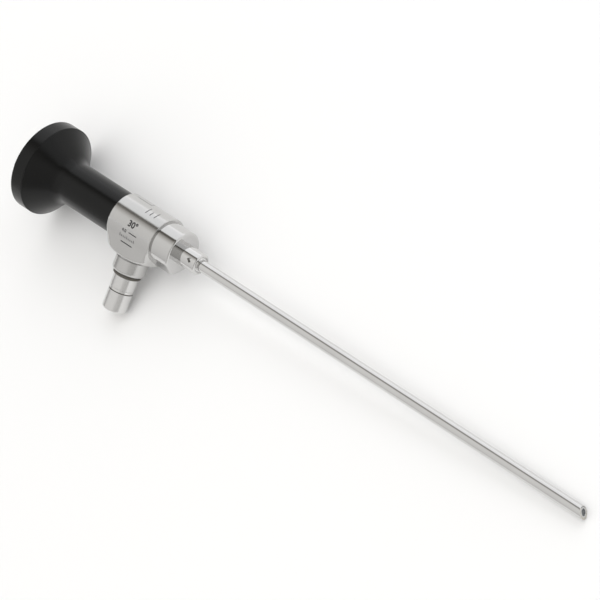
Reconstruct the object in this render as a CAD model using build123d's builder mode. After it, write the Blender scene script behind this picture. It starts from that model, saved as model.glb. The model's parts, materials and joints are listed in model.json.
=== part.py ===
from build123d import *
import math
import os

"""Rigid endoscope (arthroscope), 4 mm shaft, 30 degree direction of view.

The instrument is turned about one optical axis. Along that axis stations are
measured from the eyepiece face (s = 0) towards the tip (s = TIP_S). The light
post stands at right angles to the axis and its own stations are measured from
the optical axis (p = 0) outwards.

The instrument can't stand up, so it is modelled lying as it comes to rest on a
table: on the eyepiece rim, the end of the light post and the tip of the shaft.
+Z is up, +X runs towards the tip, and the post points to -Y and a little down.
"""

os.makedirs("parts", exist_ok=True)

# ------------------------------------------------------------------ dimensions
# optical axis stations, all in millimetres
RIM_R = 16.0            # eyepiece rim, the size camera couplers clamp
RIM_S = 5.15            # back edge of the rim
RIM_ROUND = 0.25
FLANK_S = 13.1          # where the conical flank would meet the neck
FLANK_ROUND = 5.0
NECK_R = 7.5            # black neck
CUP_END_S = 38.8        # neck meets the steel housing
SPIGOT_R = 6.6          # neck's spigot inside the housing
SPIGOT_S = 44.6
FUNNEL_R = 12.4         # mouth of the viewing funnel
FUNNEL_FLOOR_R = 4.9
FUNNEL_S = 5.2

BODY_R = 8.4            # steel housing
BODY_END_S = 58.5
POST_S = 48.2           # where the light post's axis crosses the optical axis
BOSS_L = 9.4            # half length of the boss that carries the light post
BOSS_CORNER = 4.3
BOSS_ROUND = 0.9
COLLAR_R = 7.5          # coupling collar
COLLAR_END_S = 66.7
COLLAR_ROUND = 0.8
NOSE_R = 3.8
NOSE_BACK_R = 3.6       # the nose's stem inside the collar
NOSE_END_S = 75.1
NOSE_ROUND = 0.8
DIMPLE_S, DIMPLE_ANGLE = 72.65, 101.3   # seen from the eyepiece, from the post towards the upper flank
TUBE_R = 2.0            # shaft
TUBE_BORE_R = 1.8
TUBE_SEAT_R = 2.25      # its thicker root, brazed inside the nose
TUBE_START_S = 60.0
TUBE_SEAT_S = 75.3
TIP_S = 243.9           # longest point of the ground tip
VIEW_ANGLE = 30.0       # the tip is ground square to the direction of view

# image train
OPTIC_OFFSET = -0.20    # image train sits off centre, away from the post side
OPTIC_R = 1.42
OPTIC_BORE_R = 1.30
WINDOW_R, WINDOW_T = 1.05, 0.45      # glass flush with the ground tip
ROD_R = 1.28
ROD_L = 27.6
N_RODS = 6
GAP_L = 4.2
TRAIN_START_S = 35.0
OPTIC_START_S = 31.2

# ocular
OC_R = 5.5              # ocular tube
OC_BORE_R = 4.7
OC_START_S = 5.6
OC_END_S = 46.4

# light post stations
SOCKET_R = 5.75
SOCKET_P0, SOCKET_P1 = 9.8, 16.2
STEM_R, STEM_BORE_R = 3.3, 1.75
STEM_P0, STEM_P1 = 6.4, 25.6
RING_P1 = 17.25
ADAPT_R = 4.3
ADAPT_P1 = 22.55
GASKET_P1 = 22.85
GASKET_R = 3.95         # sits in the seam, a little below the surface
OUTER_R = 4.3
POST_END_P = 29.85
POST_ROUND = 0.9
FIBRE_R = 1.6

# ---------------------------------------------------------------- resting pose
# the three contacts are the back of the rim, the free end of the post and the
# low side of the ground tip; the roll and the tip's low point depend on each
# other, so they are settled together
RIM_LOW_S = RIM_S - RIM_ROUND
ROLL = math.radians(15.0)
for _ in range(8):
    TIP_LOW_S = TIP_S - TUBE_R * (1 - math.sin(ROLL)) * math.tan(math.radians(VIEW_ANGLE))
    PITCH = math.atan((RIM_R - TUBE_R) / (TIP_LOW_S - RIM_LOW_S))
    AXIS_H = RIM_LOW_S * math.sin(PITCH) + (RIM_R - RIM_ROUND) * math.cos(PITCH) + RIM_ROUND
    _h = AXIS_H - POST_S * math.sin(PITCH) - POST_ROUND
    _e, _r = POST_END_P - POST_ROUND, OUTER_R - POST_ROUND
    _drop = math.sin(math.asin(_h / math.hypot(_e, _r)) - math.atan2(_r, _e))
    ROLL = math.asin(_drop / math.cos(PITCH))

A = Vector(math.cos(PITCH), 0, -math.sin(PITCH))             # towards the tip
_up = Vector(math.sin(PITCH), 0, math.cos(PITCH))
P = Vector(0, -1, 0) * math.cos(ROLL) - _up * math.sin(ROLL)  # along the post
Q = _up * math.cos(ROLL) - Vector(0, 1, 0) * math.sin(ROLL)   # the upper flank

# the frame's origin is on the table, under the middle of the instrument
ORIGIN = Vector(-121.226, 6.7006, AXIS_H)


def at(s=0.0, p=0.0, q=0.0):
    """A point of the instrument as a vector."""
    return ORIGIN + A * s + P * p + Q * q


AX = Axis(at(), A)
POST = Axis(at(POST_S), P)
PROFILE = Plane(origin=at(), x_dir=A, z_dir=A.cross(P))            # x = s, y = p
POST_PROFILE = Plane(origin=at(POST_S), x_dir=P, z_dir=P.cross(A))  # x = p, y = s


def across(s):
    """Plane square to the optical axis, x towards the post, y to the lower flank."""
    return Plane(origin=at(s), x_dir=P, z_dir=A)


def post_across(p):
    """Plane square to the post, x towards the tip."""
    return Plane(origin=at(POST_S, p), x_dir=A, z_dir=P)


_t = math.radians(VIEW_ANGLE)
FACE = Plane(origin=at(TIP_S, TUBE_R), z_dir=A * math.cos(_t) - P * math.sin(_t))


def face_plane(depth):
    """Plane parallel to the ground face, that deep behind it."""
    return FACE.offset(-depth)


OPTIC_AX = Axis(at(0, OPTIC_OFFSET), A)
OPTIC_PROFILE = Plane(origin=at(0, OPTIC_OFFSET), x_dir=A, z_dir=A.cross(P))


def sag_mid(sag, r):
    """Sagitta at half height of a dome whose full sagitta over radius r is sag."""
    rho = (r * r + sag * sag) / (2 * sag)
    return rho - math.sqrt(rho * rho - r * r / 4)


def save(builder, name, colour=None):
    builder.part.label = name
    if colour is not None:
        builder.part.color = colour
    export_step(builder.part, f"parts/{name}.step")


BLACK = Color(0.06, 0.06, 0.065)
STEEL = Color(0.72, 0.72, 0.71)
GLASS = Color(0.75, 0.85, 0.9)
RUBBER = Color(0.12, 0.11, 0.10)

# ================================================================ eyepiece side
# one turned piece: rim, hollow flank, neck and spigot
with BuildPart() as eyepiece_cup:
    with BuildSketch(PROFILE):
        with BuildLine():
            Polyline((FUNNEL_S, FUNNEL_FLOOR_R), (0.9, FUNNEL_R - 0.5), (0.0, FUNNEL_R + 0.2),
                     (0.0, RIM_R - RIM_ROUND))
            RadiusArc((0.0, RIM_R - RIM_ROUND), (RIM_ROUND, RIM_R), RIM_ROUND)
            Line((RIM_ROUND, RIM_R), (RIM_S - RIM_ROUND, RIM_R))
            RadiusArc((RIM_S - RIM_ROUND, RIM_R), (RIM_S, RIM_R - RIM_ROUND), RIM_ROUND)
            FilletPolyline((RIM_S, RIM_R - RIM_ROUND), (FLANK_S, NECK_R), (CUP_END_S, NECK_R),
                           radius=FLANK_ROUND)
            Polyline((CUP_END_S, NECK_R), (CUP_END_S, SPIGOT_R),
                     (40.6, SPIGOT_R), (40.6, SPIGOT_R - 0.75), (42.0, SPIGOT_R - 0.75),
                     (42.0, SPIGOT_R), (SPIGOT_S - 0.3, SPIGOT_R), (SPIGOT_S, SPIGOT_R - 0.3),
                     (SPIGOT_S, OC_R), (OC_START_S, OC_R), (OC_START_S, 4.2),
                     (FUNNEL_S, 4.2), (FUNNEL_S, FUNNEL_FLOOR_R))
        make_face()
    revolve(axis=AX)
save(eyepiece_cup, "eyepiece_cup", BLACK)

# flat glass that closes the eyepiece, soldered in a stepped steel frame
with BuildPart() as window_frame:
    with BuildSketch(PROFILE):
        with BuildLine():
            Polyline((5.6, 4.2), (5.6, OC_BORE_R), (8.2, OC_BORE_R), (8.2, 3.7), (7.2, 3.7),
                     (7.2, 4.2), close=True)
        make_face()
    revolve(axis=AX)
save(window_frame, "window_frame", STEEL)

with BuildPart() as eyepiece_window:
    with BuildSketch(across(6.0)):
        Circle(4.2)
    extrude(amount=1.2)
save(eyepiece_window, "eyepiece_window", GLASS)

with BuildPart() as ocular_spacer:
    with BuildSketch(across(8.2)):
        Circle(OC_BORE_R)
        Circle(4.1, mode=Mode.SUBTRACT)
    extrude(amount=2.4)
save(ocular_spacer, "ocular_spacer", STEEL)

# cemented eye lens: a crown with two domed faces and a flint behind it
with BuildPart() as ocular_lens_crown:
    with BuildSketch(PROFILE):
        with BuildLine():
            Line((10.1, 0), (13.9, 0))
            ThreePointArc((13.9, 0), (13.9 - sag_mid(0.9, OC_BORE_R), OC_BORE_R / 2), (13.0, OC_BORE_R))
            Line((13.0, OC_BORE_R), (10.8, OC_BORE_R))
            ThreePointArc((10.8, OC_BORE_R), (10.1 + sag_mid(0.7, OC_BORE_R), OC_BORE_R / 2), (10.1, 0))
        make_face()
    revolve(axis=AX)
save(ocular_lens_crown, "ocular_lens_crown", GLASS)

with BuildPart() as ocular_lens_flint:
    with BuildSketch(PROFILE):
        with BuildLine():
            Line((13.9, 0), (14.9, 0))
            Line((14.9, 0), (14.9, OC_BORE_R))
            Line((14.9, OC_BORE_R), (13.0, OC_BORE_R))
            ThreePointArc((13.0, OC_BORE_R), (13.9 - sag_mid(0.9, OC_BORE_R), OC_BORE_R / 2), (13.9, 0))
        make_face()
    revolve(axis=AX)
save(ocular_lens_flint, "ocular_lens_flint", GLASS)

with BuildPart() as lens_retaining_ring:
    with BuildSketch(across(14.9)):
        Circle(OC_BORE_R)
        Circle(3.6, mode=Mode.SUBTRACT)
    extrude(amount=2.2)
    # two driver slots in its back
    with BuildSketch(across(17.1)):
        Rectangle(2 * OC_BORE_R + 1, 0.9)
    extrude(amount=-0.8, mode=Mode.SUBTRACT)
save(lens_retaining_ring, "lens_retaining_ring", STEEL)

# ocular tube, with three threaded holes for the screws that centre the train
with BuildPart() as ocular_tube:
    with BuildSketch(PROFILE):
        with BuildLine():
            Polyline((OC_START_S, OC_BORE_R), (OC_START_S, OC_R), (OC_END_S, OC_R),
                     (OC_END_S, OC_BORE_R), close=True)
        make_face()
    revolve(axis=AX)
    for k in range(3):
        with BuildSketch(Plane(origin=at(35.0), z_dir=P.rotate(Axis((0, 0, 0), A), 60 + 120 * k))):
            Circle(0.7)
        extrude(amount=OC_R + 1, mode=Mode.SUBTRACT)
save(ocular_tube, "ocular_tube", STEEL)

# round mask with the small wedge that shows which way is up in the picture
with BuildPart() as field_stop:
    with BuildSketch(across(OPTIC_START_S - 0.6)):
        Circle(OC_BORE_R)
        with Locations((OPTIC_OFFSET, 0)):
            Circle(1.15, mode=Mode.SUBTRACT)
        with Locations((OPTIC_OFFSET - 1.25, 0)):
            Rectangle(0.5, 0.25, mode=Mode.SUBTRACT)
    extrude(amount=0.6)
save(field_stop, "field_stop", BLACK)

with BuildPart() as optic_tube_holder:
    with BuildSketch(across(OPTIC_START_S)):
        Circle(OC_BORE_R)
        with Locations((OPTIC_OFFSET, 0)):
            Circle(OPTIC_R, mode=Mode.SUBTRACT)
    extrude(amount=11.0)
    # waist, so that it bears at its two ends only
    with BuildSketch(across(OPTIC_START_S + 5.6)):
        Circle(OC_BORE_R + 0.2)
        Circle(OC_BORE_R - 0.8, mode=Mode.SUBTRACT)
    extrude(amount=3.4, mode=Mode.SUBTRACT)
save(optic_tube_holder, "optic_tube_holder", STEEL)

# three identical grub screws with slotted heads
with BuildPart() as holder_set_screws:
    for k in range(3):
        d = P.rotate(Axis((0, 0, 0), A), 60 + 120 * k)
        with BuildSketch(Plane(origin=at(35.0) + d * OC_BORE_R, x_dir=A, z_dir=d)):
            Circle(0.7)
        extrude(amount=OC_R - OC_BORE_R - 0.06)
        with BuildSketch(Plane(origin=at(35.0) + d * (OC_R - 0.06), x_dir=A, z_dir=d)):
            Rectangle(1.6, 0.25)
        extrude(amount=-0.35, mode=Mode.SUBTRACT)
save(holder_set_screws, "holder_set_screws", STEEL)

with BuildPart() as neck_o_ring:
    with BuildSketch(PROFILE):
        with Locations((41.3, SPIGOT_R - 0.375)):
            Ellipse(0.6, 0.375)
    revolve(axis=AX)
save(neck_o_ring, "neck_o_ring", RUBBER)

# ==================================================================== housing
# round barrel with a domed boss that runs down to the light post
with BuildPart() as body_housing:
    # boss, seen along the axis: two flanks tangent to the barrel, a gently curved foot
    with BuildSketch(across(POST_S - BOSS_L)):
        with BuildLine():
            Polyline((0, -BODY_R + 0.4), (2.13, -8.125), (9.3, -6.25))
            ThreePointArc((9.3, -6.25), (9.85, -5.95), (10.2, -5.4))
            ThreePointArc((10.2, -5.4), (10.8, 0), (10.2, 5.4))
            ThreePointArc((10.2, 5.4), (9.85, 5.95), (9.3, 6.25))
            Polyline((9.3, 6.25), (2.13, 8.125), (0, BODY_R - 0.4), (0, -BODY_R + 0.4))
        make_face()
    extrude(amount=2 * BOSS_L)
    # boss, seen along the post: flat towards the eyepiece and the tip, round corners
    with BuildSketch(post_across(-1)):
        RectangleRounded(2 * BOSS_L, 2 * BODY_R + 0.6, BOSS_CORNER)
    extrude(amount=13, mode=Mode.INTERSECT)
    foot = [e for e in body_housing.edges() if (e.center() - at(POST_S)).dot(P) > 9.6]
    fillet(foot, BOSS_ROUND)
    # barrel
    with BuildSketch(PROFILE):
        with BuildLine():
            Polyline((CUP_END_S, 5.0), (CUP_END_S, BODY_R - 0.3), (CUP_END_S + 0.3, BODY_R),
                     (BODY_END_S - 0.25, BODY_R), (BODY_END_S, BODY_R - 0.25), (BODY_END_S, 5.0),
                     close=True)
        make_face()
    revolve(axis=AX)
    # bores: spigot seat, ocular tube, fibre chamber, nose flange
    with BuildSketch(PROFILE):
        with BuildLine():
            Polyline((CUP_END_S - 1, 0), (CUP_END_S - 1, SPIGOT_R), (SPIGOT_S, SPIGOT_R),
                     (SPIGOT_S, OC_R), (OC_END_S, OC_R), (OC_END_S, 5.0), (56.4, 5.0),
                     (56.4, 6.0), (BODY_END_S + 1, 6.0), (BODY_END_S + 1, 0), close=True)
        make_face()
    revolve(axis=AX, mode=Mode.SUBTRACT)
    # seat of the light post socket and the hole for its stem
    with BuildSketch(post_across(SOCKET_P0)):
        Circle(SOCKET_R)
    extrude(amount=6, mode=Mode.SUBTRACT)
    with BuildSketch(post_across(2.0)):
        Circle(STEM_R)
    extrude(amount=SOCKET_P0 - 2.0 + 1, mode=Mode.SUBTRACT)
save(body_housing, "body_housing", STEEL)

# ring with a well rounded front edge; on the post side it swells into one cam with
# a corner, which a sleeve's bayonet turns against
with BuildPart() as coupling_collar:
    with BuildSketch(across(BODY_END_S)):
        with BuildLine():
            j1 = (COLLAR_R * math.cos(math.radians(50.3)), -COLLAR_R * math.sin(math.radians(50.3)))
            j2 = (COLLAR_R * math.cos(math.radians(50.0)), COLLAR_R * math.sin(math.radians(50.0)))
            Line(j1, (8.02, -1.48))
            ThreePointArc((8.02, -1.48), (6.86, 2.35), j2)
            ThreePointArc(j2, (-COLLAR_R, 0), j1)
        make_face()
    extrude(amount=COLLAR_END_S - BODY_END_S)
    front = [e for e in coupling_collar.edges() if (e.center() - at(COLLAR_END_S)).dot(A) > -0.01]
    fillet(front, COLLAR_ROUND)
    # bore
    with BuildSketch(across(BODY_END_S)):
        Circle(NOSE_BACK_R)
    extrude(amount=COLLAR_END_S - BODY_END_S + 1, mode=Mode.SUBTRACT)
save(coupling_collar, "coupling_collar", STEEL)

# nose: flange inside the housing, stem through the collar, rounded mouth
with BuildPart() as nose:
    with BuildSketch(PROFILE):
        with BuildLine():
            Polyline((56.4, 4.2), (56.4, 6.0), (BODY_END_S, 6.0), (BODY_END_S, NOSE_BACK_R),
                     (COLLAR_END_S, NOSE_BACK_R), (COLLAR_END_S, NOSE_R), (NOSE_END_S - NOSE_ROUND, NOSE_R))
            RadiusArc((NOSE_END_S - NOSE_ROUND, NOSE_R), (NOSE_END_S, NOSE_R - NOSE_ROUND), NOSE_ROUND)
            # a fine groove, then the cone that leads out onto the tube
            Polyline((NOSE_END_S, NOSE_R - NOSE_ROUND), (NOSE_END_S - 0.3, NOSE_R - NOSE_ROUND - 0.1),
                     (NOSE_END_S - 0.3, NOSE_R - NOSE_ROUND - 0.25), (TUBE_SEAT_S, 2.35),
                     (TUBE_SEAT_S, TUBE_SEAT_R), (TUBE_START_S, TUBE_SEAT_R), (TUBE_START_S, TUBE_BORE_R),
                     (58.4, TUBE_BORE_R), (56.4, 4.2))
        make_face()
    revolve(axis=AX)
    # small lozenge-shaped blind dimple that a sleeve's catch drops into
    _d = P * math.cos(math.radians(DIMPLE_ANGLE)) + Q * math.sin(math.radians(DIMPLE_ANGLE))
    with BuildSketch(Plane(origin=at(DIMPLE_S) + _d * (NOSE_R + 0.4), x_dir=A, z_dir=-_d)):
        with BuildLine():
            Polyline((-1.3, 0), (0, 0.98), (1.3, 0), (0, -0.98), close=True)
        make_face()
    extrude(amount=1.2, mode=Mode.SUBTRACT)
save(nose, "nose", STEEL)

# ====================================================================== shaft
with BuildPart() as outer_tube:
    with BuildSketch(across(TUBE_START_S)):
        Circle(TUBE_SEAT_R)
    extrude(amount=TUBE_SEAT_S - TUBE_START_S)
    with BuildSketch(across(TUBE_SEAT_S)):
        Circle(TUBE_R)
    extrude(amount=TIP_S - TUBE_SEAT_S + 1)
    with BuildSketch(across(TUBE_START_S - 1)):
        Circle(TUBE_BORE_R)
    extrude(amount=TIP_S - TUBE_START_S + 3, mode=Mode.SUBTRACT)
    split(bisect_by=FACE, keep=Keep.BOTTOM)
    # the ground face's outer edge is broken, so that it doesn't cut
    rim = [e for e in outer_tube.edges()
           if all(abs((e @ u - FACE.origin).dot(FACE.z_dir)) < 1e-4
                  and abs((e @ u - at()).cross(A).length - TUBE_R) < 1e-3 for u in (0.1, 0.4, 0.7))]
    fillet(rim, 0.1)
save(outer_tube, "outer_tube", STEEL)

with BuildPart() as optic_tube:
    with BuildSketch(across(OPTIC_START_S)):
        with Locations((OPTIC_OFFSET, 0)):
            Circle(OPTIC_R)
            Circle(OPTIC_BORE_R, mode=Mode.SUBTRACT)
    extrude(amount=TIP_S - OPTIC_START_S + 1)
    # lip that frames the window
    with BuildPart(mode=Mode.PRIVATE) as lip:
        with BuildSketch(across(TIP_S - 6)):
            with Locations((OPTIC_OFFSET, 0)):
                Circle(OPTIC_R)
                Circle(WINDOW_R, mode=Mode.SUBTRACT)
        extrude(amount=8)
        split(bisect_by=face_plane(WINDOW_T), keep=Keep.TOP)
    add(lip.part)
    split(bisect_by=FACE, keep=Keep.BOTTOM)
save(optic_tube, "optic_tube", STEEL)

# light fibres: a crescent beside the image train, gathered into a round bundle
# that bends into the post
with BuildPart() as fibre_bundle:
    with BuildSketch(across(54.4)):
        Circle(TUBE_BORE_R)
        with Locations((OPTIC_OFFSET, 0)):
            Circle(OPTIC_R, mode=Mode.SUBTRACT)
        with Locations((-TUBE_BORE_R, 0)):
            Rectangle(0.9, 2 * TUBE_BORE_R, mode=Mode.SUBTRACT)
    extrude(amount=TIP_S - 54.4 + 1)
    split(bisect_by=FACE, keep=Keep.BOTTOM)
    with BuildLine(PROFILE) as fibre_path:
        FilletPolyline((56.0, 2.86), (POST_S, 2.86), (POST_S, 24.6), radius=3.6)
    with BuildSketch(Plane(origin=at(56.0, 2.86), z_dir=-A)):
        Circle(FIBRE_R)
    sweep(path=fibre_path.wires()[0])
save(fibre_bundle, "fibre_bundle", Color(0.85, 0.83, 0.75))

# relay: rod lenses with domed ends, kept apart by thin spacer tubes
DOME, DOME_R = 0.12, 1.14    # domes end in a flat land that the spacers bear on
s = TRAIN_START_S
for i in range(N_RODS + 1):
    with BuildPart() as spacer:
        with BuildSketch(Plane(origin=at(s, OPTIC_OFFSET), x_dir=P, z_dir=A)):
            Circle(OPTIC_BORE_R)
            Circle(OPTIC_BORE_R - 0.14, mode=Mode.SUBTRACT)
        extrude(amount=GAP_L)
    save(spacer, f"spacer_tube_{i + 1}", STEEL)
    s += GAP_L
    if i == N_RODS:
        break
    with BuildPart() as rod:
        with BuildSketch(OPTIC_PROFILE):
            with BuildLine():
                Line((s - DOME, 0), (s + ROD_L + DOME, 0))
                ThreePointArc((s + ROD_L + DOME, 0),
                              (s + ROD_L + DOME - sag_mid(DOME, DOME_R), DOME_R / 2),
                              (s + ROD_L, DOME_R))
                Polyline((s + ROD_L, DOME_R), (s + ROD_L, ROD_R), (s, ROD_R), (s, DOME_R))
                ThreePointArc((s, DOME_R), (s - DOME + sag_mid(DOME, DOME_R), DOME_R / 2), (s - DOME, 0))
            make_face()
        revolve(axis=OPTIC_AX)
    save(rod, f"rod_lens_{i + 1}", GLASS)
    s += ROD_L
TRAIN_END_S = s

# objective: rear lens pair, stop, two cemented prisms that turn the view by
# 30 degrees, and the window ground flush with the tip
OBJ_S = TRAIN_END_S
with BuildPart() as objective_lens_rear:
    with BuildSketch(OPTIC_PROFILE):
        with BuildLine():
            Line((OBJ_S + 0.1, 0), (OBJ_S + 1.7, 0))
            Line((OBJ_S + 1.7, 0), (OBJ_S + 1.7, ROD_R))
            Line((OBJ_S + 1.7, ROD_R), (OBJ_S + 0.25, ROD_R))
            ThreePointArc((OBJ_S + 0.25, ROD_R), (OBJ_S + 0.1 + sag_mid(0.15, ROD_R), ROD_R / 2),
                          (OBJ_S + 0.1, 0))
        make_face()
    revolve(axis=OPTIC_AX)
save(objective_lens_rear, "objective_lens_rear", GLASS)

with BuildPart() as objective_spacer:
    with BuildSketch(Plane(origin=at(OBJ_S + 1.7, OPTIC_OFFSET), x_dir=P, z_dir=A)):
        Circle(OPTIC_BORE_R)
        Circle(OPTIC_BORE_R - 0.2, mode=Mode.SUBTRACT)
    extrude(amount=0.5)
save(objective_spacer, "objective_spacer", STEEL)

with BuildPart() as objective_lens_front:
    with BuildSketch(OPTIC_PROFILE):
        with BuildLine():
            Line((OBJ_S + 2.35, 0), (OBJ_S + 3.3, 0))
            Line((OBJ_S + 3.3, 0), (OBJ_S + 3.3, ROD_R))
            Line((OBJ_S + 3.3, ROD_R), (OBJ_S + 2.2, ROD_R))
            ThreePointArc((OBJ_S + 2.2, ROD_R), (OBJ_S + 2.35 - sag_mid(0.15, ROD_R), ROD_R / 2),
                          (OBJ_S + 2.35, 0))
        make_face()
    revolve(axis=OPTIC_AX)
save(objective_lens_front, "objective_lens_front", GLASS)

with BuildPart() as aperture_stop:
    with BuildSketch(Plane(origin=at(OBJ_S + 3.3, OPTIC_OFFSET), x_dir=P, z_dir=A)):
        Circle(OPTIC_BORE_R)
        Circle(0.45, mode=Mode.SUBTRACT)
    extrude(amount=0.1)
save(aperture_stop, "aperture_stop", BLACK)

PRISM_S = OBJ_S + 3.4
MID = Plane(origin=at(PRISM_S + 1.9, OPTIC_OFFSET),
            z_dir=A * math.cos(math.radians(35)) + P * math.sin(math.radians(35)))
with BuildPart() as prism_rear:
    with BuildSketch(Plane(origin=at(PRISM_S, OPTIC_OFFSET), x_dir=P, z_dir=A)):
        Circle(ROD_R)
    extrude(amount=12)
    split(bisect_by=MID, keep=Keep.BOTTOM)
save(prism_rear, "prism_rear", GLASS)

with BuildPart() as prism_front:
    with BuildSketch(Plane(origin=at(PRISM_S, OPTIC_OFFSET), x_dir=P, z_dir=A)):
        Circle(ROD_R)
    extrude(amount=12)
    split(bisect_by=MID, keep=Keep.TOP)
    split(bisect_by=face_plane(WINDOW_T), keep=Keep.BOTTOM)
save(prism_front, "prism_front", GLASS)

with BuildPart() as distal_window:
    with BuildSketch(Plane(origin=at(PRISM_S, OPTIC_OFFSET), x_dir=P, z_dir=A)):
        Circle(WINDOW_R)
    extrude(amount=14)
    split(bisect_by=FACE, keep=Keep.BOTTOM)
    split(bisect_by=face_plane(WINDOW_T), keep=Keep.TOP)
save(distal_window, "distal_window", GLASS)

# ================================================================= light post
with BuildPart() as post_socket:
    with BuildSketch(POST_PROFILE):
        with BuildLine():
            Polyline((SOCKET_P0, STEM_R), (SOCKET_P0, SOCKET_R), (SOCKET_P1 - 1.3, SOCKET_R))
            ThreePointArc((SOCKET_P1 - 1.3, SOCKET_R), (SOCKET_P1 - 0.42, SOCKET_R - 0.36),
                          (SOCKET_P1, SOCKET_R - 1.15))
            Polyline((SOCKET_P1, SOCKET_R - 1.15), (SOCKET_P1, STEM_R), (SOCKET_P0, STEM_R))
        make_face()
    revolve(axis=POST)
save(post_socket, "post_socket", STEEL)

# threaded stem, its crests left plain here
with BuildPart() as post_stem:
    with BuildSketch(POST_PROFILE):
        with BuildLine():
            Polyline((STEM_P0, STEM_BORE_R), (STEM_P0, STEM_R), (STEM_P1 - 0.4, STEM_R),
                     (STEM_P1, STEM_R - 0.4), (STEM_P1, STEM_BORE_R), close=True)
        make_face()
    revolve(axis=POST)
save(post_stem, "post_stem", STEEL)

with BuildPart() as post_o_ring:
    with BuildSketch(POST_PROFILE):
        with Locations(((SOCKET_P1 + RING_P1) / 2, 4.9 - 0.525)):
            Circle((RING_P1 - SOCKET_P1) / 2)
    revolve(axis=POST)
save(post_o_ring, "post_o_ring", RUBBER)

# first screw-on adapter: narrow seat for the ring, then a plain sleeve with a
# shallow step before its free end
with BuildPart() as adapter_inner:
    with BuildSketch(POST_PROFILE):
        with BuildLine():
            Polyline((SOCKET_P1, STEM_R), (SOCKET_P1, 3.85), (RING_P1, 3.85), (RING_P1, ADAPT_R - 0.1),
                     (RING_P1 + 0.1, ADAPT_R), (ADAPT_P1 - 1.0, ADAPT_R), (ADAPT_P1 - 0.8, ADAPT_R - 0.16),
                     (ADAPT_P1, ADAPT_R - 0.16), (ADAPT_P1, STEM_R), close=True)
        make_face()
    revolve(axis=POST)
save(adapter_inner, "adapter_inner", STEEL)

with BuildPart() as adapter_gasket:
    with BuildSketch(post_across(ADAPT_P1)):
        Circle(GASKET_R)
        Circle(STEM_R, mode=Mode.SUBTRACT)
    extrude(amount=GASKET_P1 - ADAPT_P1)
save(adapter_gasket, "adapter_gasket", RUBBER)

# second screw-on adapter, which a light cable's socket slides over
with BuildPart() as adapter_outer:
    with BuildSketch(POST_PROFILE):
        with BuildLine():
            Polyline((GASKET_P1, STEM_R), (GASKET_P1, OUTER_R), (POST_END_P - POST_ROUND, OUTER_R))
            RadiusArc((POST_END_P - POST_ROUND, OUTER_R), (POST_END_P, OUTER_R - POST_ROUND), POST_ROUND)
            Polyline((POST_END_P, OUTER_R - POST_ROUND), (POST_END_P - 0.25, 3.15), (POST_END_P - 1.1, 2.9),
                     (STEM_P1, 2.9), (STEM_P1, STEM_R), (GASKET_P1, STEM_R))
        make_face()
    revolve(axis=POST)
save(adapter_outer, "adapter_outer", STEEL)

with BuildPart() as light_entry_ferrule:
    with BuildSketch(POST_PROFILE):
        with BuildLine():
            Polyline((STEM_P1, 1.7), (STEM_P1, 2.9), (POST_END_P - 1.1, 2.9), (POST_END_P - 1.1, 2.25),
                     close=True)
        make_face()
    revolve(axis=POST)
save(light_entry_ferrule, "light_entry_ferrule", STEEL)

with BuildPart() as light_entry_cone:
    with BuildSketch(POST_PROFILE):
        with BuildLine():
            Polyline((24.6, 0), (24.6, 1.7), (STEM_P1, 1.7), (POST_END_P - 1.1, 2.25),
                     (POST_END_P - 1.1, 0), close=True)
        make_face()
    revolve(axis=POST)
save(light_entry_cone, "light_entry_cone", GLASS)

if __name__ == "__main__":
    print("pitch %.3f roll %.3f axis height %.3f" % (math.degrees(PITCH), math.degrees(ROLL), AXIS_H))
    print("A", tuple(A), "P", tuple(P), "Q", tuple(Q))
    print("origin", tuple(ORIGIN), "train end", TRAIN_END_S, "prism", PRISM_S)
    lo, hi = [1e9] * 3, [-1e9] * 3
    for b in (eyepiece_cup, body_housing, coupling_collar, nose, outer_tube, post_socket, adapter_outer):
        bb = b.part.bounding_box()
        lo = [min(a, c) for a, c in zip(lo, tuple(bb.min))]
        hi = [max(a, c) for a, c in zip(hi, tuple(bb.max))]
    print("box", lo, hi)
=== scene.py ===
import json
import math

import bmesh
import bpy
from mathutils import Matrix, Vector


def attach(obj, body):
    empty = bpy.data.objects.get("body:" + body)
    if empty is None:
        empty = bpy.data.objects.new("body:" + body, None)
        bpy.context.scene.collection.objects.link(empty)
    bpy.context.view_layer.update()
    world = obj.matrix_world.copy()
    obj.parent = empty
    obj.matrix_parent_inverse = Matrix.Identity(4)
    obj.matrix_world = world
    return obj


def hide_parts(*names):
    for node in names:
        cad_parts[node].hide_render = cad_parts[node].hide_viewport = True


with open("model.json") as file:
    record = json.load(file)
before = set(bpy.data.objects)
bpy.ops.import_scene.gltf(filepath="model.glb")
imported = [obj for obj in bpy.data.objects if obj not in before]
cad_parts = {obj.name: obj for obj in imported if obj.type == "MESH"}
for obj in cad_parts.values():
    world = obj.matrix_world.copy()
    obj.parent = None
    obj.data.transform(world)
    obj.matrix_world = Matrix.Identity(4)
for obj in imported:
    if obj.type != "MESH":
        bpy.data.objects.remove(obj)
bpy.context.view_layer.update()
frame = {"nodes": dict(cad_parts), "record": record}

# ---------------------------------------------------------------- shared frame
# the same stations as the construction: s along the optical axis from the
# eyepiece face, p along the light post from the optical axis, in millimetres
RIM_R, RIM_S, RIM_ROUND, TUBE_R, TIP_S, POST_S = 16.0, 5.15, 0.25, 2.0, 243.9, 48.2
POST_END_P, POST_ROUND, OUTER_R = 29.85, 0.9, 4.3
VIEW_ANGLE = math.radians(30.0)
ROLL = math.radians(15.0)
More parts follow.
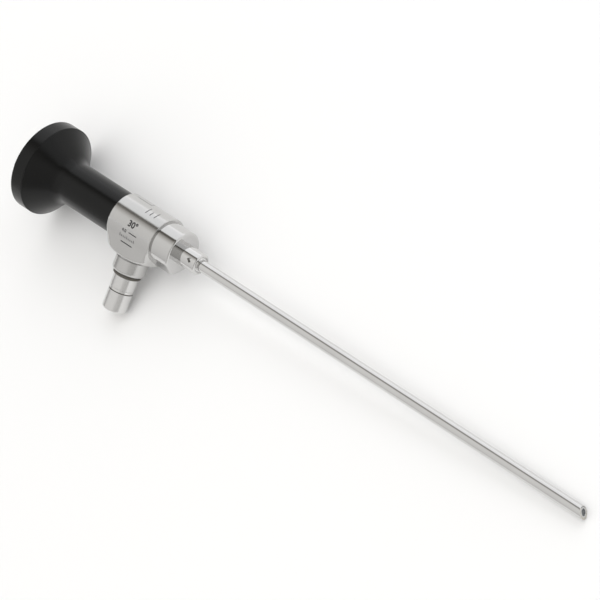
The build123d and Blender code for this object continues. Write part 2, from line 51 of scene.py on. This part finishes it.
for _ in range(8):
    low = TIP_S - TUBE_R * (1 - math.sin(ROLL)) * math.tan(VIEW_ANGLE)
    PITCH = math.atan((RIM_R - TUBE_R) / (low - (RIM_S - RIM_ROUND)))
    AXIS_H = (RIM_S - RIM_ROUND) * math.sin(PITCH) + (RIM_R - RIM_ROUND) * math.cos(PITCH) + RIM_ROUND
    _h = AXIS_H - POST_S * math.sin(PITCH) - POST_ROUND
    _e, _r = POST_END_P - POST_ROUND, OUTER_R - POST_ROUND
    ROLL = math.asin(math.sin(math.asin(_h / math.hypot(_e, _r)) - math.atan2(_r, _e)) / math.cos(PITCH))
A = Vector((math.cos(PITCH), 0, -math.sin(PITCH)))
_up = Vector((math.sin(PITCH), 0, math.cos(PITCH)))
P = Vector((0, -1, 0)) * math.cos(ROLL) - _up * math.sin(ROLL)
Q = _up * math.cos(ROLL) - Vector((0, 1, 0)) * math.sin(ROLL)
ORIGIN = Vector((-121.226, 6.7006, AXIS_H))


def at(s=0.0, p=0.0, q=0.0):
    return (ORIGIN + A * s + P * p + Q * q) / 1000


# ---------------------------------------------------------------------- camera
# axis, post and flank directions as the photograph's view sees them
# (x right, y up, z towards the viewer)
a_c = Vector((0.70587, -0.45369, 0.54391))
p_c = Vector((-0.35266, -0.89110, -0.28563))
q_c = p_c.cross(a_c)
FACE_C = Vector((-85.17, 45.38, 0.0))
CAM_D, PX_PER_MM = 1403.0, 2.980


def from_view(v):
    return A * a_c.dot(v) + P * p_c.dot(v) + Q * q_c.dot(v)


cam_data = bpy.data.cameras.new("camera")
cam = bpy.data.objects.new("camera", cam_data)
bpy.context.scene.collection.objects.link(cam)
cam.matrix_world = Matrix.Translation(
    (ORIGIN + from_view(Vector((0, 0, CAM_D)) - FACE_C)) / 1000) @ Matrix(
    (from_view(Vector((1, 0, 0))), from_view(Vector((0, 1, 0))), from_view(Vector((0, 0, 1))))
).transposed().to_4x4()
cam_data.sensor_width = 36.0
cam_data.lens = CAM_D * PX_PER_MM / 600 * 36
cam_data.clip_start, cam_data.clip_end = 0.01, 50
bpy.context.scene.camera = cam
bpy.context.scene.view_settings.view_transform = "Standard"


# ------------------------------------------------------------- node helpers
class Nodes:
    """Small helper around one node tree."""

    def __init__(self, tree):
        self.t = tree
        tree.nodes.clear()

    def add(self, kind, **inputs):
        n = self.t.nodes.new(kind)
        for k, v in inputs.items():
            if k.startswith("_"):
                setattr(n, k[1:], v)
                continue
            sock = n.inputs[int(k[1:])] if k[0] == "i" and k[1:].isdigit() else n.inputs[k.replace("_", " ")]
            if isinstance(v, bpy.types.NodeSocket):
                self.t.links.new(v, sock)
            else:
                sock.default_value = v
        return n

    def math(self, op, a, b=0.0, c=0.0, clamp=False):
        n = self.add("ShaderNodeMath", _operation=op, _use_clamp=clamp)
        for i, v in enumerate((a, b, c)):
            if isinstance(v, bpy.types.NodeSocket):
                self.t.links.new(v, n.inputs[i])
            else:
                n.inputs[i].default_value = v
        return n.outputs[0]

    def ramp(self, fac, stops, interp="LINEAR"):
        n = self.t.nodes.new("ShaderNodeValToRGB")
        n.color_ramp.interpolation = interp
        e = n.color_ramp.elements
        while len(e) < len(stops):
            e.new(0.5)
        for el, (pos, col) in zip(e, stops):
            el.position = pos
            el.color = tuple(col) + (1,) if not isinstance(col, float) else (col, col, col, 1)
        self.t.links.new(fac, n.inputs[0])
        return n.outputs[0]


# ------------------------------------------------------------ floor and light
def make_stage():
    mesh = bpy.data.meshes.new("floor")
    s = 6.0
    mesh.from_pydata([(-s, -s, 0), (s, -s, 0), (s, s, 0), (-s, s, 0)], [], [(0, 1, 2, 3)])
    floor = bpy.data.objects.new("floor", mesh)
    bpy.context.scene.collection.objects.link(floor)
    mat = bpy.data.materials.new("floor")
    mat.use_nodes = True
    n = Nodes(mat.node_tree)
    b = n.add("ShaderNodeBsdfPrincipled", Base_Color=(0.93, 0.93, 0.93, 1), Roughness=0.9)
    b.inputs["Specular IOR Level"].default_value = 0.0
    n.add("ShaderNodeOutputMaterial", Surface=b.outputs[0])
    mesh.materials.append(mat)

    # soft boxes all round as one gradient: a tall bright one on the far side, a
    # softer one on the near side, a narrow gap between them along the instrument
    # and a dimmer stretch beyond its tip
    world = bpy.data.worlds.new("studio")
    bpy.context.scene.world = world
    world.use_nodes = True
    n = Nodes(world.node_tree)
    co = n.add("ShaderNodeTexCoord")
    sep = n.add("ShaderNodeSeparateXYZ", Vector=co.outputs["Generated"])
    # angle from straight up towards +Y (the far side)
    w = n.math("ARCTAN2", sep.outputs[1], sep.outputs[2])
    u = n.math("MULTIPLY_ADD", w, 0.5 / math.pi, 0.5)
    # how far the direction leans to +X (beyond the tip) or -X (behind the eyepiece)
    u2 = n.math("MULTIPLY_ADD", sep.outputs[0], 0.5, 0.5)

    def deg(d):
        return d / 360 + 0.5
    sides = n.ramp(u, [
        (deg(-100), (0.62, 0.615, 0.605)),
        (deg(-55), (0.79, 0.78, 0.765)),
        (deg(-10), (0.88, 0.87, 0.85)),
        (deg(2), (0.87, 0.86, 0.84)),
        (deg(15), (0.62, 0.605, 0.58)),
        (deg(23), (0.40, 0.385, 0.36)),
        (deg(28), (0.15, 0.14, 0.125)),
        (deg(36), (0.13, 0.12, 0.105)),
        (deg(39), (1.08, 1.09, 1.10)),
        (deg(74), (1.13, 1.135, 1.15)),
        (deg(90), (1.38, 1.385, 1.40)),
        (deg(110), (1.5, 1.5, 1.51)),
    ])
    ends = n.ramp(u2, [
        (0.02, (0.55, 0.55, 0.55)),
        (0.06, (0.62, 0.62, 0.62)),
        (0.13, (1.0, 1.0, 1.0)),
        (0.70, (1.0, 1.0, 1.0)),
        (0.79, (0.78, 0.78, 0.775)),
        (0.94, (0.74, 0.74, 0.735)),
    ])
    mix = n.t.nodes.new("ShaderNodeMix")
    mix.data_type = "RGBA"
    mix.blend_type = "MULTIPLY"
    mix.inputs[0].default_value = 1.0
    n.t.links.new(sides, mix.inputs[6])
    n.t.links.new(ends, mix.inputs[7])
    bg = n.add("ShaderNodeBackground", Color=mix.outputs[2], Strength=1.0)
    n.add("ShaderNodeOutputWorld", Surface=bg.outputs[0])

    def area(name, loc, target, size, power, color=(1, 1, 1), glossy=True):
        d = bpy.data.lights.new(name, "AREA")
        d.shape = "DISK"
        d.size = size
        d.energy = power
        d.color = color
        o = bpy.data.objects.new(name, d)
        bpy.context.scene.collection.objects.link(o)
        o.location = loc
        o.rotation_mode = "QUATERNION"
        o.rotation_quaternion = (Vector(target) - Vector(loc)).to_track_quat("-Z", "Y")
        o.visible_glossy = glossy
        return o
    area("key", (-0.1, 1.0, 1.6), (0, 0, 0), 2.6, KEY_W, glossy=False)
    area("top_fill", (0.1, -0.2, 1.7), (0, 0, 0), 2.2, FILL_W, glossy=False)


KEY_W, FILL_W = 11.0, 7.5
make_stage()

# ------------------------------------------------------------------- materials
mats = {}


def material(name):
    m = bpy.data.materials.new(name)
    m.use_nodes = True
    mats[name] = m
    return m, Nodes(m.node_tree)


def noise(n, co, scale, detail=2.0, rough=0.5):
    return n.add("ShaderNodeTexNoise", Vector=co, Scale=scale, Detail=detail, Roughness=rough).outputs["Fac"]


def steel(name, base, rough, grain=0.0, brush=0.0, axis="s", wear=0.0):
    """Bare stainless steel: turned or blasted texture, faint stains, variation of gloss."""
    m, n = material(name)
    co = n.add("ShaderNodeTexCoord").outputs["Object"]
    broad = noise(n, co, 90.0, 3.0)
    fine = noise(n, co, 5200.0, 2.0)
    mixed = n.ramp(broad, [(0.3, tuple(c * 0.975 for c in base)), (0.7, tuple(min(1, c * 1.02) for c in base))])
    r = n.math("MULTIPLY_ADD", broad, 0.05, rough - 0.025)
    bump_h = n.math("MULTIPLY", fine, 1.0)
    b = n.add("ShaderNodeBsdfPrincipled", Base_Color=mixed, Metallic=1.0, Roughness=r)
    bump = n.add("ShaderNodeBump", Strength=0.06 + grain, Distance=0.00002, Height=bump_h)
    n.t.links.new(bump.outputs[0], b.inputs["Normal"])
    n.add("ShaderNodeOutputMaterial", Surface=b.outputs[0])
    return m


steel("satin_steel", (0.57, 0.566, 0.558), 0.16, grain=0.25)
steel("post_steel", (0.56, 0.556, 0.548), 0.24, grain=0.25)
steel("adapter_steel", (0.70, 0.696, 0.69), 0.24, grain=0.2)
steel("polished_steel", (0.60, 0.596, 0.59), 0.09)
steel("nose_steel", (0.66, 0.656, 0.65), 0.09)
steel("tube_steel", (0.67, 0.666, 0.66), 0.08)
steel("plain_steel", (0.6, 0.6, 0.6), 0.25)


def plastic():
    m, n = material("black_polymer")
    co = n.add("ShaderNodeTexCoord").outputs["Object"]
    fine = noise(n, co, 4200.0, 2.0)
    broad = noise(n, co, 120.0, 3.0)
    base = n.ramp(broad, [(0.3, (0.0016, 0.0017, 0.0016)), (0.7, (0.0024, 0.0025, 0.0023))])
    r = n.math("MULTIPLY_ADD", broad, 0.05, 0.225)
    b = n.add("ShaderNodeBsdfPrincipled", Base_Color=base, Roughness=r)
    b.inputs["Specular IOR Level"].default_value = 0.27
    bump = n.add("ShaderNodeBump", Strength=0.12, Distance=0.00002, Height=fine)
    n.t.links.new(bump.outputs[0], b.inputs["Normal"])
    n.add("ShaderNodeOutputMaterial", Surface=b.outputs[0])


def rubber():
    m, n = material("seal_rubber")
    co = n.add("ShaderNodeTexCoord").outputs["Object"]
    fine = noise(n, co, 2500.0, 3.0)
    base = n.ramp(fine, [(0.3, (0.085, 0.078, 0.066)), (0.7, (0.11, 0.102, 0.088))])
    b = n.add("ShaderNodeBsdfPrincipled", Base_Color=base, Roughness=0.5)
    bump = n.add("ShaderNodeBump", Strength=0.2, Distance=0.00003, Height=fine)
    n.t.links.new(bump.outputs[0], b.inputs["Normal"])
    n.add("ShaderNodeOutputMaterial", Surface=b.outputs[0])


def glass(name, tint, rough=0.02):
    m, n = material(name)
    co = n.add("ShaderNodeTexCoord").outputs["Object"]
    broad = noise(n, co, 300.0, 2.0)
    base = n.ramp(broad, [(0.3, tint), (0.7, tuple(c * 0.97 for c in tint))])
    b = n.add("ShaderNodeBsdfPrincipled", Base_Color=base, Roughness=rough)
    b.inputs["Transmission Weight"].default_value = 1.0
    b.inputs["IOR"].default_value = 1.52
    n.add("ShaderNodeOutputMaterial", Surface=b.outputs[0])


def fibres():
    m, n = material("light_guide_glass")
    co = n.add("ShaderNodeTexCoord").outputs["Object"]
    v = n.add("ShaderNodeTexVoronoi", Vector=co, Scale=14000.0)
    base = n.ramp(v.outputs["Distance"], [(0.2, (0.80, 0.78, 0.70)), (0.6, (0.35, 0.33, 0.28))])
    b = n.add("ShaderNodeBsdfPrincipled", Base_Color=base, Roughness=0.12)
    n.add("ShaderNodeOutputMaterial", Surface=b.outputs[0])


# near-black finish; the painted shadow ring round the socket's seat uses it
def blackened():
    m, n = material("blackened_metal")
    co = n.add("ShaderNodeTexCoord").outputs["Object"]
    base = n.ramp(noise(n, co, 900.0, 3.0), [(0.3, (0.012, 0.012, 0.012)), (0.7, (0.02, 0.02, 0.02))])
    b = n.add("ShaderNodeBsdfPrincipled", Base_Color=base, Roughness=0.6)
    n.add("ShaderNodeOutputMaterial", Surface=b.outputs[0])


plastic()
rubber()
glass("optical_glass", (0.92, 0.96, 0.97))
fibres()
blackened()

# carried-over pieces take the record's slot
slot_of = {s["node"]: s["material_slot"] for s in frame["record"]["subparts"]}
for name, obj in frame["nodes"].items():
    mat = mats[slot_of[name]] if slot_of[name] in mats else mats["plain_steel"]
    obj.data.materials.clear()
    obj.data.materials.append(mat)


# ------------------------------------------------------------ mesh building
def new_piece(name, verts, faces, mat, replaces=None, smooth_angle=32.0):
    mesh = bpy.data.meshes.new(name)
    mesh.from_pydata([v[:] for v in verts], [], faces)
    bm = bmesh.new()
    bm.from_mesh(mesh)
    bmesh.ops.recalc_face_normals(bm, faces=bm.faces)
    for f in bm.faces:
        f.smooth = True
    lim = math.radians(smooth_angle)
    for e in bm.edges:
        if len(e.link_faces) == 2 and e.calc_face_angle(0.0) > lim:
            e.smooth = False
    bm.to_mesh(mesh)
    bm.free()
    mesh.materials.append(mats[mat])
    obj = bpy.data.objects.new(name, mesh)
    bpy.context.scene.collection.objects.link(obj)
    if replaces:
        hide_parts(replaces)
    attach(obj, "root")
    return obj


# -------------------------------------------------------------------- housing
BODY_R, BODY_S0, BODY_S1 = 8.4, 38.8, 58.5
BOSS_S1 = 58.1                   # front end of the boss
NF = (2.13 / 8.4, 8.125 / 8.4)   # flank's normal where it leaves the barrel


def smin(a, b, k):
    h = max(k - abs(a - b), 0.0) / k
    return min(a, b) - h * h * k * 0.25


def rounded(a, b, r):
    """Distance to the overlap of two half spaces with its edge rounded to radius r."""
    return math.hypot(max(a + r, 0), max(b + r, 0)) + min(max(a, b) + r, 0) - r


def boss_distance(s, p, q):
    """Below zero inside the boss that carries the light post."""
    aq, ds = abs(q), abs(s - POST_S)
    flank = NF[0] * p + NF[1] * aq - BODY_R
    # the upright corners grow rounder towards the foot
    if s < POST_S:
        side = rounded(flank, BODY_S0 - s, min(max(0.4, 0.6 * p - 1.64), 4.2))
    else:
        side = rounded(flank, s - BOSS_S1, min(max(0.4, 0.38 * p - 1.1), 2.4))
    foot = (p - 11.45 + 0.021 * (aq * aq + ds * ds)) * 0.95
    return rounded(side, foot, 0.75)


def housing_distance(s, p, q):
    return smin(math.hypot(p, q) - BODY_R, boss_distance(s, p, q), 0.35)


def housing_radius(s, th):
    """Distance from the axis to the skin in direction th (from P towards Q)."""
    c, d = math.cos(th), math.sin(th)
    if c < 0.02:
        return BODY_R
    lo, hi = 6.0, 13.5
    for _ in range(22):
        m = (lo + hi) / 2
        if housing_distance(s, m * c, m * d) > 0:
            hi = m
        else:
            lo = m
    return (lo + hi) / 2


def make_housing():
    nt = 432
    rear, front = 0.34, 0.28
    # the stations lie closer together at the ends of the boss and of the barrel
    b0, b1, b = BODY_S0, BOSS_S1, BODY_S1 - front
    st = [b0 + 3.2 * (1 - math.cos(math.pi / 2 * i / 34)) for i in range(35)]
    st += [b0 + 3.2 + (b1 - b0 - 6.4) * i / 52 for i in range(1, 52)]
    st += [b1 - 3.2 * (1 - math.cos(math.pi / 2 * i / 34)) for i in range(34, -1, -1)]
    st += [b1 + 0.03, b1 + 0.07]
    st += [b + front * math.sin(math.pi / 2 * i / 6) for i in range(7)]
    ths = [2 * math.pi * j / nt for j in range(nt)]
    verts, faces, rows = [], [], []

    def row(points):
        rows.append(len(verts))
        verts.extend(points)

    def ring(s, r):
        return [at(s, r * math.cos(t), r * math.sin(t)) for t in ths]
    # bore, from the rear round to the front, then the skin back to the rear
    bore = [(BODY_S0, 6.6), (44.6, 6.6), (44.6, 5.5), (46.4, 5.5), (46.4, 5.0),
            (56.4, 5.0), (56.4, 6.0), (BODY_S1, 6.0)]
    for s, r in bore:
        row(ring(s, r))
    for s in reversed(st):
        cut = 0.0
        if s < BODY_S0 + rear:
            u = BODY_S0 + rear - s
            cut = rear - math.sqrt(max(rear * rear - u * u, 0))
        elif s > BODY_S1 - front:
            u = s - (BODY_S1 - front)
            cut = front - math.sqrt(max(front * front - u * u, 0))
        pts = []
        for t in ths:
            r = housing_radius(max(s, BODY_S0 + 0.004), t) - cut
            pts.append(at(s, r * math.cos(t), r * math.sin(t)))
        row(pts)
    n = len(rows)
    for i in range(n):
        r0, r1 = rows[i], rows[(i + 1) % n]
        for j in range(nt):
            j1 = (j + 1) % nt
            faces.append((r0 + j, r0 + j1, r1 + j1, r1 + j))
    return new_piece("housing_shell", verts, faces, "satin_steel", "body_housing")


housing = make_housing()


def make_socket_shadow_ring():
    """Fine dark ring round the socket's seat: painted shadow where the boss's flank meets the socket."""
    n = 96
    profile = [(10.78, 5.68), (10.84, 5.80), (10.91, 5.81), (10.97, 5.79), (11.01, 5.68)]
    verts, faces = [], []
    for p, r in profile:
        for j in range(n):
            a = 2 * math.pi * j / n
            verts.append(at(POST_S + r * math.cos(a), p, r * math.sin(a)))
    m = len(profile)
    for i in range(m):
        for j in range(n):
            j1, i1 = (j + 1) % n, (i + 1) % m
            faces.append((i * n + j, i * n + j1, i1 * n + j1, i1 * n + j))
    return new_piece("socket_shadow_ring", verts, faces, "blackened_metal")


make_socket_shadow_ring()


# ---------------------------------------------------------- engraved markings
def housing_point(s, th, lift=0.0):
    r = housing_radius(s, th) + lift
    return at(s, r * math.cos(th), r * math.sin(th))


def wrap_marks(name, shapes, lift=0.006):
    """Flat shapes in (u along the axis, v round the housing) laid on its skin."""
    bm = bmesh.new()
    for verts, faces in shapes:
        vs = [bm.verts.new(housing_point(u, v / BODY_R, lift)) for u, v in verts]
        for f in faces:
            try:
                bm.faces.new([vs[i] for i in f])
            except ValueError:
                pass
    mesh = bpy.data.meshes.new(name)
    bm.to_mesh(mesh)
    bm.free()
    mesh.materials.append(mats["laser_black"])
    obj = bpy.data.objects.new(name, mesh)
    bpy.context.scene.collection.objects.link(obj)
    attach(obj, "root")
    return obj


def digits(text, u0, v0, size, spacing=1.0, bold=0.02):
    """A line of figures as flat geometry, reading along the axis; v0 is its base line."""
    cu = bpy.data.curves.new("fig", "FONT")
    cu.body = text
    cu.size = size
    cu.resolution_u = 6
    cu.space_character = spacing
    cu.offset = size * bold
    cu.align_x = "CENTER"
    ob = bpy.data.objects.new("fig", cu)
    bpy.context.scene.collection.objects.link(ob)
    bpy.context.view_layer.update()
    me = bpy.data.meshes.new_from_object(ob)
    bm = bmesh.new()
    bm.from_mesh(me)
    bmesh.ops.triangulate(bm, faces=bm.faces)
    for _ in range(5):
        long_ones = [e for e in bm.edges if e.calc_length() > 0.3]
        if not long_ones:
            break
        bmesh.ops.subdivide_edges(bm, edges=long_ones, cuts=1)
        bmesh.ops.triangulate(bm, faces=bm.faces)
    verts = [(u0 + v.co.x, v0 + v.co.y) for v in bm.verts]
    bm.verts.index_update()
    faces = [[v.index for v in f.verts] for f in bm.faces]
    bm.free()
    bpy.data.objects.remove(ob)
    bpy.data.curves.remove(cu)
    bpy.data.meshes.remove(me)
    return verts, faces


def bar(u0, v0, u1, v1, w):
    """A straight engraved line of width w."""
    dx, dy = u1 - u0, v1 - v0
    l = math.hypot(dx, dy)
    nx, ny = -dy / l * w / 2, dx / l * w / 2
    k = max(1, int(l / 0.4))
    verts = []
    for i in range(k + 1):
        x, y = u0 + dx * i / k, v0 + dy * i / k
        verts += [(x + nx, y + ny), (x - nx, y - ny)]
    return verts, [[2 * i, 2 * i + 1, 2 * i + 3, 2 * i + 2] for i in range(k)]


m, n = material("laser_black")
_co = n.add("ShaderNodeTexCoord").outputs["Object"]
_base = n.ramp(noise(n, _co, 3000.0, 2.0), [(0.3, (0.012, 0.012, 0.013)), (0.7, (0.03, 0.03, 0.032))])
_b = n.add("ShaderNodeBsdfPrincipled", Base_Color=_base, Roughness=0.5)
n.add("ShaderNodeOutputMaterial", Surface=_b.outputs[0])

# plain marks: direction of view, shaft size, rules and an index line
wrap_marks("mark_view", [digits("30°", 49.4, 14.0, 3.0, 1.0, 0.035)], 0.006)
wrap_marks("mark_size", [digits("4.0", 46.9, 11.5, 1.6, 1.0, 0.03),
                         bar(49.0, 12.1, 52.6, 12.1, 0.34)], 0.006)
wrap_marks("mark_rules", [bar(45.4 + 0.8 * i, 9.35, 45.4 + 0.8 * i, 10.1 + 0.35 * (i % 4 == 0), 0.26)
                          for i in range(9)]
           + [bar(46.2, 7.9, 51.4, 7.9, 0.34),
              bar(41.3, 25.7, 48.0, 25.7, 0.24), bar(48.0, 25.7, 48.0, 27.3, 0.24),
              bar(50.0, 20.9, 50.0, 23.9, 0.3), bar(52.0, 20.9, 52.0, 22.9, 0.3),
              bar(54.0, 20.9, 54.0, 23.9, 0.3)], 0.006)


def rematerial(node, mat):
    d = frame["nodes"][node].data
    d.materials.clear()
    d.materials.append(mats[mat])


rematerial("nose", "nose_steel")
for node in ("post_socket", "light_entry_ferrule"):
    rematerial(node, "post_steel")
for node in ("adapter_inner", "adapter_outer"):
    rematerial(node, "adapter_steel")
rematerial("outer_tube", "tube_steel")
